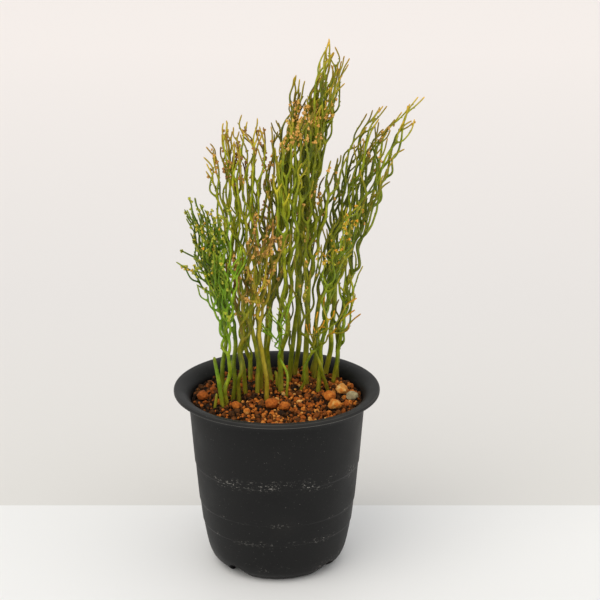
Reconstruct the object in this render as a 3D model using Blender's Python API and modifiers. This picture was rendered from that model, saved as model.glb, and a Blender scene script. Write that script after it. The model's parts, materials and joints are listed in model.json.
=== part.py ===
"""Potted whisk fern: a flared plastic nursery pot, a bed of granular potting mix with loose
stones on it, and the leafless, forking green stems of the fern.

Metres, +Z up. The origin is the middle of the pot's base, on the surface that it stands on.
+X is to the right and +Y to the back.
"""

import math
import random

import bpy
import numpy as np
from mathutils import Vector, noise

MM = 0.001

# ---- the pot -------------------------------------------------------------------------------
RIM_RADIUS = 52.5 * MM
POT_HEIGHT = 95.0 * MM
LIP_EDGE = 2.2 * MM            # height of the rim's outer edge
WALL = 1.5 * MM
# The outside of the wall, without its ledges: pairs of height and radius, in millimetres.
WALL_SHAPE = ((0, 28), (1, 29.7), (2.5, 31.4), (5, 33.9), (9, 35.6), (14, 36.7), (20, 37.8),
              (28, 38.8), (38, 39.8), (52, 41.0), (70, 42.4), (88, 43.8))
FLOOR_UNDERSIDE = 6.2 * MM     # the floor is raised off the ground inside the foot ring
FLOOR_TOP = 8.0 * MM
FOOT_RING_WIDTH = 1.8 * MM
PAD_RADIUS = 8.0 * MM          # a round pad in the middle of the floor reaches the ground too
LEDGE_HEIGHTS = (23.5 * MM, 35.0 * MM, 55.5 * MM)
LEDGE_STEP = 0.35 * MM         # each ledge steps the wall out by this much
POT_SEGMENTS = 48

NOTCH_ANGLES = (51, 141, 231, 321)  # degrees round from +X, of the notches in the foot ring
NOTCH_WIDTH = 14.0 * MM
NOTCH_HEIGHT = 7.0 * MM
DRAIN_HOLE_RADIUS = 4.0 * MM
DRAIN_HOLE_PLACE = 16.0 * MM   # how far from the middle the holes are, in line with the notches

# ---- the potting mix -----------------------------------------------------------------------
GAP = 0.3 * MM                 # touching pieces stand this far apart
SOIL_EDGE_TOP = 89.0 * MM
SOIL_CROWN = 1.6 * MM          # the bed is this much higher in the middle
SOIL_SEGMENTS = 40
ROOTED = 5.0 * MM              # how far a stem goes down into the mix

# ---- the stems -----------------------------------------------------------------------------
TIP_RADIUS = 0.42 * MM
FORK_THINNING = 0.86           # a branch's radius as a share of what it forks from
FORK_HALF_ANGLE = 25           # degrees that each branch leaves its fork at
FIRST_POINT = 6.0 * MM         # how far above a fork a branch's first bend lies
TUBE_SHARE = 0.886             # half the side of a square tube with a round one's area
CLEARANCE = 0.5 * MM           # between one stem and another
PUSH_ROUNDS = 150
CLOSE_ENOUGH = 0.1 * MM        # the clearance may be short by this much

# Each row: name, foot (x, y), first fork (x, y, z), the tips' lowest and highest places,
# how far they scatter, how many tips, radius at the foot. All in millimetres.
STEMS = (
    ("stem_left_outer", (-28, 10), (-26, 9, 126), (-46, 4, 160), (-36, 2, 192), 7, 12, 1.25),
    ("stem_left_front", (-22, -7), (-21, -9, 128), (-44, -16, 158), (-33, -12, 194), 7, 12, 1.3),
    ("stem_left_low", (-25, -12), (-24, -15, 118), (-36, -22, 158), (-20, -22, 184), 7, 10, 1.2),
    ("stem_dry_front", (-19, -9), (-17, -11, 124), (-20, -20, 158), (-6, -16, 190), 6, 9, 1.2),
    ("stem_brown_left", (-16, 2), (-18, 3, 132), (-31, 2, 210), (-20, 4, 236), 5, 8, 1.25),
    ("stem_brown_right", (-10, 1), (-12, 4, 140), (-17, 6, 212), (-7, 5, 234), 5, 8, 1.25),
    ("stem_inner_left", (-8, 7), (-9, 10, 138), (-14, 16, 172), (0, 12, 206), 6, 7, 1.2),
    ("stem_amber", (-5, -8), (-8, -9, 134), (-15, -15, 152), (5, -13, 186), 6, 8, 1.25),
    ("stem_back_tall", (-6, 36), (-1, 34, 152), (2, 33, 210), (9, 28, 252), 5, 9, 1.6),
    ("stem_centre", (2, 4), (5, 3, 134), (4, 0, 196), (18, 4, 240), 6, 11, 1.55),
    ("stem_top_front", (6, 19), (11, 18, 152), (18, 16, 230), (29, 14, 274), 5, 10, 1.45),
    ("stem_back_middle", (9, 38), (13, 41, 138), (14, 42, 205), (25, 38, 246), 5, 8, 1.3),
    ("stem_low_spreading", (12, 5), (18, 1, 113), (14, -14, 131), (41, -10, 144), 8, 9, 0.9),
    ("stem_right_main", (19, 24), (22, 24, 134), (34, 25, 204), (52, 22, 244), 5, 10, 1.4),
    ("stem_right_middle", (21, 5), (24, 1, 132), (27, -6, 162), (42, -2, 194), 7, 11, 1.3),
    ("stem_grey_leaning", (26, 7), (15, 0, 122), (8, -6, 150), (20, -8, 182), 5, 5, 1.0),
    ("stem_right_curly", (29, 20), (35, 17, 128), (33, 14, 146), (40, 18, 160), 3, 5, 1.1),
    ("stem_right_outer", (25, 31), (30, 32, 140), (57, 30, 206), (68, 28, 238), 5, 10, 1.5),
    ("stem_light_thick", (15, 13), (16, 10, 149), (12, 8, 178), (28, 8, 214), 6, 10, 1.6),
    ("stem_back_centre", (2, 28), (2, 32, 128), (-3, 38, 192), (10, 42, 224), 6, 8, 1.3),
    ("stem_back_left", (-14, 22), (-17, 25, 122), (-29, 30, 168), (-14, 28, 200), 7, 9, 1.25),
    ("stem_back_right", (18, 36), (25, 40, 124), (35, 42, 172), (50, 40, 206), 6, 9, 1.3),
    ("stem_dark_tip", (-3, 20), (-4, 20, 132), (-9, 20, 196), (0, 20, 230), 5, 6, 1.15),
    ("stem_top_back", (9, 29), (12, 28, 158), (15, 26, 226), (31, 22, 264), 5, 10, 1.35),
    ("stem_right_inner", (31, 26), (34, 19, 132), (43, 12, 192), (58, 14, 232), 5, 9, 1.3),
    ("stem_curled_young", (5, -3), (2, -6, 117), (-8, -9, 129), (8, -8, 146), 4, 6, 0.75),
)

# Young shoots that haven't forked yet: name, foot (x, y), tip (x, y, z), radius.
SHOOTS = (
    ("shoot_bright", (-27, -15), (-31, -16, 117), 1.1),
    ("shoot_left_stub", (-31, -15), (-30, -15, 97), 0.8),
    ("shoot_middle_stub", (0, 12), (-1, 12, 99), 0.8),
    ("shoot_right_stub", (13, 20), (14, 19, 98), 0.9),
)

# Loose stones on the mix: name, place (x, y), half length, half width, half height, turn.
STONES = (
    ("stone_red", (-2.6, -18.6), (3.1, 2.9, 2.5), 20),
    ("stone_red_front", (4.0, -20.6), (3.3, 2.9, 2.4), 75),
    ("stone_orange_back", (26.7, -7.6), (3.6, 3.2, 2.7), 140),
    ("stone_tan", (33.2, 1.6), (4.2, 3.4, 2.8), 100),
    ("stone_orange_front", (29.3, -18.2), (4.2, 3.3, 2.8), 40),
    ("stone_grey", (38.3, -5), (3.2, 2.8, 2.3), 10),
    ("stone_far_left", (-37.5, -4), (3.6, 3.0, 2.2), 60),
    ("stone_front", (-20.2, -19), (2.6, 2.4, 2.1), 120),
)

# name: (sRGB-like base colour, roughness)
FINISHES = {
    "black_plastic": ((0.022, 0.022, 0.022), 0.55),
    "potting_mix": ((0.20, 0.085, 0.035), 0.95),
    "stem_green": ((0.16, 0.25, 0.03), 0.5),
    "stem_olive": ((0.27, 0.24, 0.05), 0.55),
    "baked_clay": ((0.42, 0.15, 0.05), 0.95),
    "pale_stone": ((0.45, 0.38, 0.22), 0.9),
}


def clear_scene():
    for obj in list(bpy.data.objects):
        bpy.data.objects.remove(obj)


def new_collection(name, hidden=False):
    collection = bpy.data.collections.new(name)
    collection.hide_render = hidden
    bpy.context.scene.collection.children.link(collection)
    return collection


def finish(name):
    """The material of that name, made once."""
    if name in bpy.data.materials:
        return bpy.data.materials[name]
    colour, roughness = FINISHES[name]
    material = bpy.data.materials.new(name)
    material.use_nodes = True
    surface = material.node_tree.nodes["Principled BSDF"]
    surface.inputs["Base Color"].default_value = (*colour, 1)
    surface.inputs["Roughness"].default_value = roughness
    surface.inputs["Metallic"].default_value = 0
    return material


def add_mesh(name, points, edges, faces, collection, material=None):
    mesh = bpy.data.meshes.new(name)
    mesh.from_pydata([tuple(p) for p in points], edges, faces)
    mesh.update()
    obj = bpy.data.objects.new(name, mesh)
    collection.objects.link(obj)
    if material:
        obj.data.materials.append(finish(material))
    return obj


def turn_profile(name, profile, segments, collection, material):
    """A profile of (radius, height) points turned round Z."""
    edges = [(i, i + 1) for i in range(len(profile) - 1)]
    obj = add_mesh(name, [(r, 0, z) for r, z in profile], edges, [], collection, material)
    screw = obj.modifiers.new("turn", "SCREW")
    screw.axis = "Z"
    screw.steps = screw.render_steps = segments
    screw.use_merge_vertices = True
    screw.merge_threshold = 0.00002
    screw.use_smooth_shade = True
    return obj


def cut_with(obj, cutter):
    cut = obj.modifiers.new("cut_" + cutter.name, "BOOLEAN")
    cut.operation = "DIFFERENCE"
    cut.object = cutter
    cutter.hide_render = True
    cutter.display_type = "WIRE"


def hide_as_cutter(obj, collection):
    for owner in list(obj.users_collection):
        owner.objects.unlink(obj)
    collection.objects.link(obj)


# ---- pot -----------------------------------------------------------------------------------
def wall_radius(z):
    """The outside of the wall below the rim, stepping out at each ledge."""
    heights, radii = zip(*WALL_SHAPE)
    steps = LEDGE_STEP * sum(z > ledge for ledge in LEDGE_HEIGHTS)
    return float(np.interp(z / MM, heights, radii)) * MM + steps


def pot_profile():
    """Half the section of the pot, from the middle of the floor's top up the inside, over the
    rim, down the outside and under the floor to the middle again."""
    flare_start = POT_HEIGHT - 8.5 * MM
    foot_radius = wall_radius(0)
    outside = [(RIM_RADIUS, POT_HEIGHT - LIP_EDGE + 0.5 * MM), (RIM_RADIUS - 0.5 * MM, POT_HEIGHT - LIP_EDGE)]
    wall_top = wall_radius(flare_start)
    reach = RIM_RADIUS - 1.6 * MM - wall_top
    drop = POT_HEIGHT - LIP_EDGE - flare_start
    for share in (0.82, 0.6, 0.38, 0.18, 0.0):
        angle = share * math.pi / 2
        outside.append((wall_top + reach * (1 - math.cos(angle)), flare_start + drop * math.sin(angle)))
    for z in sorted(LEDGE_HEIGHTS, reverse=True):
        outside += [(wall_radius(z + 0.3 * MM), z + 0.3 * MM), (wall_radius(z - 0.3 * MM), z - 0.3 * MM)]
    for z in (14.0 * MM, 9.0 * MM, 5.0 * MM, 2.5 * MM, 1.0 * MM):
        outside.append((wall_radius(z), z))
    ring_inside = foot_radius - FOOT_RING_WIDTH
    outside += [
        (foot_radius, 0),
        (ring_inside, 0),
        (wall_radius(2.5 * MM) - FOOT_RING_WIDTH, 2.5 * MM),
        (wall_radius(FLOOR_UNDERSIDE) - FOOT_RING_WIDTH - 0.8 * MM, FLOOR_UNDERSIDE),
        (PAD_RADIUS + 0.8 * MM, FLOOR_UNDERSIDE),
        (PAD_RADIUS, 0),
        (0, 0),
    ]
    inside = [(wall_radius(FLOOR_TOP) - 3.0 * MM, FLOOR_TOP)]
    for z in (11.0 * MM, 18.0 * MM, 35.0 * MM, 60.0 * MM):
        inside.append((wall_radius(z) - WALL, z))
    for share in (0.0, 0.3, 0.6, 0.85):
        angle = share * math.pi / 2
        radius = wall_top - WALL + (RIM_RADIUS - 1.0 * MM - wall_top + WALL) * (1 - math.cos(angle))
        inside.append((radius, flare_start + (POT_HEIGHT - flare_start) * math.sin(angle)))
    inside += [(RIM_RADIUS - 1.0 * MM, POT_HEIGHT), (RIM_RADIUS, POT_HEIGHT - 0.6 * MM)]
    return [(0, FLOOR_TOP)] + inside + outside


def make_pot(parts, cutters):
    pot = turn_profile("pot", pot_profile(), POT_SEGMENTS, parts, "black_plastic")
    for angle in NOTCH_ANGLES:
        bpy.ops.mesh.primitive_cylinder_add(
            vertices=12, radius=NOTCH_WIDTH / 2, depth=16 * MM, rotation=(math.pi / 2, 0, math.radians(angle - 90))
        )
        notch = bpy.context.object
        notch.name = f"notch_cutter_{angle}"
        around = math.radians(angle)
        middle = wall_radius(0) - 1.0 * MM
        notch.location = (math.cos(around) * middle, math.sin(around) * middle, 0)
        notch.scale = (1, NOTCH_HEIGHT / (NOTCH_WIDTH / 2), 1)
        hide_as_cutter(notch, cutters)
        cut_with(pot, notch)
        place = (math.cos(around) * DRAIN_HOLE_PLACE, math.sin(around) * DRAIN_HOLE_PLACE, FLOOR_TOP)
        bpy.ops.mesh.primitive_cylinder_add(
            vertices=16, radius=DRAIN_HOLE_RADIUS, depth=10 * MM, location=place
        )
        hole = bpy.context.object
        hole.name = f"drain_hole_cutter_{angle}"
        hide_as_cutter(hole, cutters)
        cut_with(pot, hole)
    return pot


# ---- potting mix ---------------------------------------------------------------------------
def soil_height(x, y):
    """The top of the bed, which is a little higher in the middle."""
    share = (x * x + y * y) / (44 * MM) ** 2
    return SOIL_EDGE_TOP + SOIL_CROWN * (1 - share)


def inner_radius(z):
    return wall_radius(z) - WALL - GAP


def make_soil(parts, cutters, rooted):
    """The bed fills the pot. Each stem and shoot has its own hole in it."""
    edge = inner_radius(86 * MM) + 0.5 * MM
    profile = []
    for share in (0.0, 0.3, 0.55, 0.8, 1.0):
        radius = share * (edge - 0.4 * MM)
        profile.append((radius, soil_height(radius, 0)))
    profile.append((edge, SOIL_EDGE_TOP - 1.0 * MM))
    for z in (84, 60, 35, 18, 11):
        profile.append((inner_radius(z * MM) - 0.1 * MM, z * MM))
    profile += [(wall_radius(FLOOR_TOP) - 3.9 * MM, FLOOR_TOP + GAP), (0, FLOOR_TOP + GAP)]
    soil = turn_profile("potting_mix", profile, SOIL_SEGMENTS, parts, "potting_mix")
    for name, foot, radius in rooted:
        bpy.ops.mesh.primitive_cylinder_add(
            vertices=6, radius=radius * 1.45 + GAP, depth=2 * (ROOTED + GAP),
            location=(foot[0], foot[1], soil_height(*foot)),
        )
        hole = bpy.context.object
        hole.name = "hole_for_" + name
        hide_as_cutter(hole, cutters)
        cut_with(soil, hole)
    return soil


def make_stone(name, place, sizes, turn, parts, material):
    bpy.ops.mesh.primitive_ico_sphere_add(subdivisions=2, radius=1)
    stone = bpy.context.object
    stone.name = name
    spin = math.radians(turn)
    for vertex in stone.data.vertices:
        lump = 1 + 0.16 * noise.noise(vertex.co * 1.3 + Vector((turn, 0, 0)))
        x, y, z = (co * lump * size * MM for co, size in zip(vertex.co, sizes))
        vertex.co = (x * math.cos(spin) - y * math.sin(spin), x * math.sin(spin) + y * math.cos(spin), z)
    lowest = min(vertex.co.z for vertex in stone.data.vertices)
    x, y = (value * MM for value in place)
    inward = max(math.hypot(x, y) - sizes[0] * MM, 0)
    stone.location = (x, y, soil_height(inward, 0) + GAP - lowest)
    stone.data.shade_smooth()
    stone.data.materials.append(finish(material))
    hide_as_cutter(stone, parts)
    return stone


# ---- how a stem forks ----------------------------------------------------------------------
class Skeleton:
    """The centre lines of one stem: points, a radius at each, and the edges between them."""

    def __init__(self, name):
        self.name = name
        self.points, self.radii, self.edges = [], [], []

    def add(self, point, radius, after=None):
        self.points.append(np.array(point, float))
        self.radii.append(radius)
        if after is not None:
            self.edges.append((after, len(self.points) - 1))
        return len(self.points) - 1


def unit(vector):
    return vector / max(np.linalg.norm(vector), 1e-12)


def scatter_tips(low, high, scatter, count, dice):
    """Where the tips of a stem end: along the line from low to high, scattered round it."""
    tips = []
    for i in range(count):
        share = min(max((i + dice.uniform(-0.4, 0.4)) / (count - 1), 0), 1)
        spot = low + (high - low) * share
        spot += np.array([dice.uniform(-1, 1), dice.uniform(-1, 1), dice.uniform(-0.5, 0.5)]) * scatter
        tips.append(spot)
    return tips


def split_tips(tips, heading, last_side):
    """Two halves of the tips, across their widest way, and the side that the halves lie to."""
    spots = np.array(tips)
    offsets = spots - spots.mean(0)
    offsets -= np.outer(offsets @ heading, heading)
    across = unit(np.linalg.svd(offsets, full_matrices=False)[2][0])
    if last_side is not None and len(tips) < 4:
        across = unit(np.cross(heading, last_side))
    across = unit(across - heading * (across @ heading))
    order = np.argsort(spots @ across, kind="stable")
    half = len(tips) // 2
    return [tips[i] for i in order[:half]], [tips[i] for i in order[half:]], across


def grow_branch(stem, start, heading, side, tips, radius, dice):
    """Grows one branch from the point numbered start towards its tips, forking as it goes."""
    origin = stem.points[start]
    centre = np.mean(tips, axis=0)
    generations = math.log2(len(tips))
    reach = centre - origin
    length = np.linalg.norm(reach) / (generations + 1.0) * dice.uniform(0.85, 1.1)
    end = tips[0] if len(tips) == 1 else origin + unit(reach) * length
    end_radius = TIP_RADIUS if len(tips) == 1 else radius * 0.95
    if side is not None:
        angle = math.radians(FORK_HALF_ANGLE + dice.uniform(-3, 5))
        first = min(FIRST_POINT, 0.48 * np.linalg.norm(end - origin))
        away = unit(unit(reach) + 0.6 * heading) * math.cos(angle) + side * math.sin(angle)
        bend = origin + unit(away) * first
        start = stem.add(bend, radius * 0.97, start)
    along = np.linalg.norm(end - stem.points[start])
    bends = int(along > 17 * MM) + int(along > 30 * MM)
    begin = stem.points[start]
    for i in range(bends):
        share = (i + 1) / (bends + 1)
        wave = np.array([dice.uniform(-1, 1), dice.uniform(-1, 1), 0]) * 0.045 * along
        middle = begin + (end - begin) * share + wave
        start = stem.add(middle, radius + (end_radius - radius) * share, start)
    before = stem.points[start]
    node = stem.add(end, end_radius, start)
    if len(tips) == 1:
        return
    onward = unit(end - before)
    left, right, across = split_tips(tips, onward, side)
    for group, way in ((left, -1), (right, 1)):
        grow_branch(stem, node, onward, across * way, group, radius * FORK_THINNING, dice)


def grow_stem(seed, name, foot, fork, low, high, scatter, count, radius):
    dice = random.Random(seed)
    stem = Skeleton(name)
    x, y = (value * MM for value in foot)
    radius *= MM
    top = soil_height(x, y)
    fork_point = np.array(fork) * MM
    start = stem.add((x, y, top - ROOTED), radius)
    ground = np.array([x, y, top])
    for share in (0.0, 0.5):
        sway = np.array([dice.uniform(-1, 1), dice.uniform(-1, 1), 0]) * 1.2 * MM * (share > 0)
        start = stem.add(ground + (fork_point - ground) * share + sway, radius, start)
    node = stem.add(fork_point, radius * 0.97, start)
    onward = unit(fork_point - stem.points[start])
    tips = scatter_tips(np.array(low) * MM, np.array(high) * MM, scatter * MM, count, dice)
    left, right, across = split_tips(tips, onward, None)
    for group, way in ((left, -1), (right, 1)):
        grow_branch(stem, node, onward, across * way, group, radius * FORK_THINNING, dice)
    return stem


def grow_shoot(name, foot, tip, radius):
    stem = Skeleton(name)
    x, y = (value * MM for value in foot)
    top = soil_height(x, y)
    start = stem.add((x, y, top - ROOTED), radius * MM)
    start = stem.add((x, y, top), radius * MM, start)
    end = np.array(tip) * MM
    start = stem.add((stem.points[start] + end) / 2, radius * MM, start)
    stem.add(end, radius * 0.8 * MM, start)
    return stem


# ---- keeping stems apart -------------------------------------------------------------------
def nearest_on_pairs(a, b, c, d):
    """For each pair of straight runs a-b and c-d, where along each they come closest."""
    u, v, w = b - a, d - c, a - c
    uu, uv, vv = (u * u).sum(1), (u * v).sum(1), (v * v).sum(1)
    uw, vw = (u * w).sum(1), (v * w).sum(1)
    spread = np.maximum(uu * vv - uv * uv, 1e-18)
    s = np.clip((uv * vw - vv * uw) / spread, 0, 1)
    t = np.clip((uv * s + vw) / np.maximum(vv, 1e-18), 0, 1)
    s = np.clip((uv * t - uw) / np.maximum(uu, 1e-18), 0, 1)
    return s, t


def push_apart(stems):
    """Moves the stems' points sideways until no two stems, or two branches of one, touch."""
    points = np.concatenate([np.array(stem.points) for stem in stems])
    radii = np.concatenate([np.array(stem.radii) for stem in stems])
    firsts = np.cumsum([0] + [len(stem.points) for stem in stems])
    runs = np.array([(i + first, j + first) for stem, first in zip(stems, firsts) for i, j in stem.edges])
    parent = {int(j): int(i) for i, j in runs}
    fixed = np.zeros(len(points), bool)
    for first in firsts[:-1]:
        fixed[first:first + 2] = True
    one, two = np.triu_indices(len(runs), 1)
    kin = np.array([
        bool({int(runs[i][0]), int(runs[i][1]), parent.get(int(runs[i][0]))}
             & {int(runs[j][0]), int(runs[j][1]), parent.get(int(runs[j][0]))} - {None})
        for i, j in zip(one, two)
    ])
    one, two = one[~kin], two[~kin]
    for _ in range(PUSH_ROUNDS):
        a, b = points[runs[:, 0]], points[runs[:, 1]]
        middle, half = (a + b) / 2, np.linalg.norm(b - a, axis=1) / 2
        near = np.linalg.norm(middle[one] - middle[two], axis=1) < half[one] + half[two] + 4 * MM
        i, j = one[near], two[near]
        s, t = nearest_on_pairs(a[i], b[i], a[j], b[j])
        s, t = s[:, None], t[:, None]
        gap = a[i] + (b[i] - a[i]) * s - a[j] - (b[j] - a[j]) * t
        distance = np.linalg.norm(gap, axis=1)
        wanted = 1.3 * (radii[runs[i]].max(1) + radii[runs[j]].max(1)) + CLEARANCE
        close = distance < wanted
        if not (distance < wanted - CLOSE_ENOUGH).any():
            break
        i, j, s, t, gap, distance = i[close], j[close], s[close], t[close], gap[close], distance[close]
        away = gap / np.maximum(distance, 1e-9)[:, None]
        shove = away * ((wanted[close] - distance) * 0.5)[:, None]
        moves = np.zeros_like(points)
        counts = np.zeros(len(points))
        for ends, shares, way in ((runs[i], s, 1), (runs[j], t, -1)):
            for k, weight in ((0, 1 - shares), (1, shares)):
                np.add.at(moves, ends[:, k], way * shove * weight)
                np.add.at(counts, ends[:, k], weight[:, 0])
        moves /= np.maximum(counts, 0.5)[:, None]
        moves[fixed] = 0
        points += moves
    print("push rounds ended, too close:", int((distance < wanted[close] - CLOSE_ENOUGH).sum()))
    for stem, first in zip(stems, firsts):
        stem.points = list(points[first:first + len(stem.points)])


# ---- the skin of a stem --------------------------------------------------------------------
def carry(across, heading):
    """The direction across a branch, made square to its new heading."""
    return unit(across - heading * (across @ heading))


def ring_at(vertices, centre, heading, across, half):
    """Adds a square ring of four corners and gives their numbers."""
    up = np.cross(heading, across)
    first = len(vertices)
    for i, j in ((-1, -1), (1, -1), (1, 1), (-1, 1)):
        vertices.append(centre + (across * i + up * j) * half)
    return [first, first + 1, first + 2, first + 3]


def bridge(faces, below, above):
    for i in range(4):
        j = (i + 1) % 4
        faces.append((below[i], below[j], above[j], above[i]))


def quarter_turned(ring, across, heading, wanted):
    """The same ring, renumbered by quarter turns so that its first side lies nearest to wanted."""
    up = np.cross(heading, across)
    choices = (across, up, -across, -up)
    turns = max(range(4), key=lambda k: choices[k] @ wanted)
    return ring[turns:] + ring[:turns], choices[turns]


def skin(stem):
    """A square tube along the skeleton. At a fork the ring's near and far sides meet a crotch of
    two points, and each branch goes on from half of the ring. The Skin modifier leaves thin
    gaps and doubled edges at such forks, so the faces are laid here."""
    after = {i: [] for i in range(len(stem.points))}
    for i, j in stem.edges:
        after[i].append(j)
    points, vertices, faces = stem.points, [], []

    def go_on(node, came, ring, across):
        """From the ring at the last point, came's heading, to the ring at this node and on."""
        nexts = after[node]
        half = stem.radii[node] * TUBE_SHARE
        if len(nexts) == 2:
            wanted = carry(points[nexts[1]] - points[nexts[0]], came)
            ring, across = quarter_turned(ring, across, came, wanted)
            across = wanted
            here = ring_at(vertices, points[node], came, across, half)
            bridge(faces, ring, here)
            one, two = (unit(points[n] - points[node]) for n in nexts)
            spread = math.acos(float(np.clip(one @ two, -1, 1))) / 2
            shortest = min(np.linalg.norm(points[n] - points[node]) for n in nexts)
            thinner = max(stem.radii[n] for n in nexts) * TUBE_SHARE
            rise = min(thinner / math.sin(max(spread, 0.1)) * 1.1, 0.6 * shortest)
            crotch = points[node] + unit(one + two) * rise
            up = np.cross(came, across)
            near, far = len(vertices), len(vertices) + 1
            vertices.extend((crotch - up * half, crotch + up * half))
            faces.extend(((here[0], here[1], near), (here[2], here[3], far)))
            halves = ([here[0], near, far, here[3]], [near, here[1], here[2], far])
            for following, started, heading in zip(nexts, halves, (one, two)):
                go_on(following, heading, started, carry(across, heading))
            return
        if nexts:
            onward = unit(points[nexts[0]] - points[node])
            mean = unit(came + onward)
            here = ring_at(vertices, points[node], mean, carry(across, mean), half)
            bridge(faces, ring, here)
            go_on(nexts[0], onward, here, carry(across, onward))
            return
        here = ring_at(vertices, points[node], came, carry(across, came), half)
        bridge(faces, ring, here)
        faces.append(tuple(here))

    heading = unit(points[1] - points[0])
    across = carry(np.array([1.0, 0.0, 0.0]), heading)
    root = ring_at(vertices, points[0], heading, across, stem.radii[0] * TUBE_SHARE)
    faces.append(tuple(reversed(root)))
    go_on(1, heading, root, across)
    return vertices, faces


def make_stem(stem, parts, material):
    vertices, faces = skin(stem)
    return add_mesh(stem.name, vertices, [], faces, parts, material)


def main():
    clear_scene()
    parts = new_collection("potted_whisk_fern")
    cutters = new_collection("cutters", hidden=True)
    make_pot(parts, cutters)
    stems = [grow_stem(number, *row) for number, row in enumerate(STEMS)]
    stems += [grow_shoot(*row) for row in SHOOTS]
    push_apart(stems)
    for stem in stems:
        make_stem(stem, parts, "stem_green")
    rooted = [(stem.name, tuple(stem.points[0][:2]), stem.radii[0]) for stem in stems]
    make_soil(parts, cutters, rooted)
    for name, place, sizes, turn in STONES:
        make_stone(name, place, sizes, turn, parts, "pale_stone" if name == "stone_grey" else "baked_clay")


main()
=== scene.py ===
import json
import math
import random

import bpy
import numpy as np
from mathutils import Euler, Matrix, Vector, kdtree, noise

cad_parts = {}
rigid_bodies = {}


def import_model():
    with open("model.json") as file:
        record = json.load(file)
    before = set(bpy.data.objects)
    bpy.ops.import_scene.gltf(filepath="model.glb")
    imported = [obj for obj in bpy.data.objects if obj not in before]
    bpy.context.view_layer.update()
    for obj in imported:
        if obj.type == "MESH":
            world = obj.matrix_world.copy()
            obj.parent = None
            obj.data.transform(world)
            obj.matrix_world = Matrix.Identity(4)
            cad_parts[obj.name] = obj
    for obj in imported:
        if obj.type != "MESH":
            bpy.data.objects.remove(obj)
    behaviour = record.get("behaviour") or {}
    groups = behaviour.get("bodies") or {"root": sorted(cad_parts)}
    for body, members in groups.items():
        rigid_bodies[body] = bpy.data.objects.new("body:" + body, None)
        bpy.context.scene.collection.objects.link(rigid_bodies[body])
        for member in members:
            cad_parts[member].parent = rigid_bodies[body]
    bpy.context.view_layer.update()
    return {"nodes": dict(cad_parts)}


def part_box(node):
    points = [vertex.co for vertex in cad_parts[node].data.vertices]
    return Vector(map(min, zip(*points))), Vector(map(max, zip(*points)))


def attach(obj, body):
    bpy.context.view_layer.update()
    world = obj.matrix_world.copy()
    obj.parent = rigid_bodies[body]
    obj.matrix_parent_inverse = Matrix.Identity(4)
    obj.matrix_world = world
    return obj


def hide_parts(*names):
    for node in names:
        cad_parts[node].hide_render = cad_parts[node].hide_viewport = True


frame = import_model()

mm = 0.001
scene = bpy.context.scene
bpy.ops.object.select_all(action="DESELECT")  # the loaded nodes come in selected
noise.seed_set(1)  # unseeded, noise_vector would change from run to run


# small helpers
def linear(hexColour):  # sRGB hex to linear red, green, blue, alpha
    channels = [int(hexColour[i:i + 2], 16) / 255 for i in (1, 3, 5)]
    return (*[c / 12.92 if c <= 0.04045 else ((c + 0.055) / 1.055) ** 2.4 for c in channels], 1)


def setInputs(tree, node, given):  # settings, values, colour stops, ranges, and links from a socket or a node
    for key, value in given.items():
        if isinstance(value, bpy.types.Node):
            value = value.outputs[0]
        if key == "stops":
            ramp = node.color_ramp.elements
            while len(ramp) < len(value):
                ramp.new(0.5)
            for element, (place, colour) in zip(ramp, value):
                element.position = place
                element.color = linear(colour)
        elif key == "range":
            setInputs(tree, node, dict(zip(("From Min", "From Max", "To Min", "To Max"), value)))
        elif not isinstance(key, int) and key not in node.inputs:
            setattr(node, key, value)
        elif isinstance(value, bpy.types.NodeSocket):
            tree.links.new(value, node.inputs[key])
        else:
            node.inputs[key].default_value = value


def addNode(tree, kind, given=None):
    node = tree.nodes.new("ShaderNode" + kind)
    setInputs(tree, node, given or {})
    return node


def newMaterial(name):
    material = bpy.data.materials.new(name)
    material.use_nodes = True
    tree = material.node_tree
    tree.nodes.clear()
    surface = addNode(tree, "BsdfPrincipled")
    addNode(tree, "OutputMaterial", {"Surface": surface.outputs[0]})
    return material, tree, surface


def meshPiece(name, vertices, faces, material):
    mesh = bpy.data.meshes.new(name)
    mesh.from_pydata([tuple(v) for v in vertices], [], faces)
    mesh.update()
    piece = bpy.data.objects.new(name, mesh)
    scene.collection.objects.link(piece)
    mesh.materials.append(material)
    return piece


def makeActive(piece):
    bpy.ops.object.select_all(action="DESELECT")
    piece.select_set(True)
    bpy.context.view_layer.objects.active = piece


def applyModifier(piece, kind, **settings):
    makeActive(piece)
    modifier = piece.modifiers.new(kind.lower(), kind)
    for key, value in settings.items():
        setattr(modifier, key, value)
    bpy.ops.object.modifier_apply(modifier=modifier.name)


def smoothShade(piece, angle=180):
    makeActive(piece)
    if angle < 180:
        bpy.ops.object.shade_smooth_by_angle(angle=math.radians(angle))
    else:
        bpy.ops.object.shade_smooth()


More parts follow.
